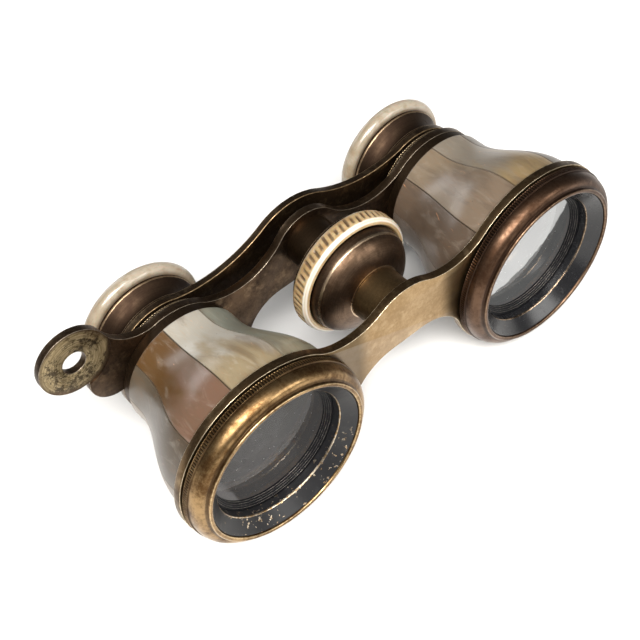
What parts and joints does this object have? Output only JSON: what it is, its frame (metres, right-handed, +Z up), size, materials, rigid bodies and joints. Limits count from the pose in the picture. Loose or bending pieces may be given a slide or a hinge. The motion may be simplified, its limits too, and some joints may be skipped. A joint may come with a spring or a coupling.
{
  "type": "opera glasses",
  "caption": "Small binocular opera glasses: pearl-clad brass barrels, linked by three bridges and focused together by a central wheel that slides both eyepieces.",
  "frame": {"origin": "centre of the overall box in plan, at the lowest point of the front bridge's rings; the barrel axes are 18.7 mm above it", "axes": "+X across the barrels from the lug to the plain side, +Y along the optical axes from the objectives to the eyepieces, +Z up towards the top of the focus wheel"},
  "size_m": [0.1054, 0.0444, 0.04],
  "materials": {
    "barrel_brass": "dark brown aged brass, satin",
    "bezel_gold": "worn golden-brown brass, polished on the crests",
    "bezel_copper": "worn copper-brown brass, polished on the crests",
    "front_bridge_brass": "pale satin brass with dark edges",
    "rear_bridge_brass": "dark brown patina, turned brassy face on the lug",
    "eyepiece_bridge_brass": "dark brown patina, rubbed edges",
    "column_bronze": "dark bronze, satin",
    "hub_bronze": "dark bronze, soft polish",
    "bell_bronze": "dark bronze, soft polish",
    "gland_brass": "aged brass, fine knurl",
    "draw_brass": "bright drawn brass",
    "pearl_right": "mother of pearl, polished",
    "pearl_left": "mother of pearl, polished",
    "wheel_pearl": "bone-coloured pearl shell, polished, notched rim",
    "eye_ring_pearl": "pearl shell, polished",
    "black_lacquer": "black lacquer over brass, chipped at the edges",
    "objective_glass": "clear optical glass",
    "eye_glass": "clear optical glass",
    "cork_lining": "cork-lined sleeve"
  },
  "bodies": {
    "barrels": {"barrel_tube_right": "barrel_brass", "barrel_tube_left": "barrel_brass", "stave_band_right": "barrel_brass", "stave_band_left": "barrel_brass", "objective_cell_right": "bezel_gold", "objective_cell_left": "bezel_copper", "lens_hood_right": "black_lacquer", "lens_hood_left": "black_lacquer", "lens_retaining_ring_right": "black_lacquer", "lens_retaining_ring_left": "black_lacquer", "crown_lens_right": "objective_glass", "crown_lens_left": "objective_glass", "flint_lens_right": "objective_glass", "flint_lens_left": "objective_glass", "gland_ring_right": "gland_brass", "gland_ring_left": "gland_brass", "guide_bush_right": "cork_lining", "guide_bush_left": "cork_lining", "stave_right_1": "pearl_right", "stave_right_2": "pearl_right", "stave_right_3": "pearl_right", "stave_right_4": "pearl_right", "stave_right_5": "pearl_right", "stave_right_6": "pearl_right", "stave_right_7": "pearl_right", "stave_right_8": "pearl_right", "stave_right_9": "pearl_right", "stave_right_10": "pearl_right", "stave_left_1": "pearl_left", "stave_left_2": "pearl_left", "stave_left_3": "pearl_left", "stave_left_4": "pearl_left", "stave_left_5": "pearl_left", "stave_left_6": "pearl_left", "stave_left_7": "pearl_left", "stave_left_8": "pearl_left", "stave_left_9": "pearl_left", "stave_left_10": "pearl_left", "front_bridge": "front_bridge_brass", "rear_bridge": "rear_bridge_brass", "column_tube": "column_bronze", "rear_bush": "barrel_brass"},
    "focus_wheel": {"wheel_hub": "hub_bronze", "wheel_ring": "wheel_pearl", "wheel_back_plate": "barrel_brass"},
    "eyepieces": {"draw_tube_right": "draw_brass", "draw_tube_left": "draw_brass", "eyepiece_bell_right": "bell_bronze", "eyepiece_bell_left": "bell_bronze", "eye_ring_right": "eye_ring_pearl", "eye_ring_left": "eye_ring_pearl", "eye_lens_right": "eye_glass", "eye_lens_left": "eye_glass", "eye_lens_ring_right": "black_lacquer", "eye_lens_ring_left": "black_lacquer", "eyepiece_bridge": "eyepiece_bridge_brass", "focus_screw": "draw_brass", "screw_nut": "bell_bronze"}
  },
  "joints": [
    {"name": "focus_turn", "type": "hinge", "parent": "barrels", "child": "focus_wheel", "pos_m": [0.003, -0.00315, 0.0264], "axis": [0, 1, 0], "range_deg": [-37, 325]},
    {"name": "eyepiece_slide", "type": "slide", "parent": "barrels", "child": "eyepieces", "axis": [0, 1, 0], "range_m": [-0.0008, 0.0072]}
  ],
  "couplings": [
    {"joint": "focus_turn", "follows": "eyepiece_slide", "rad_per_m": 785.4}
  ]
}
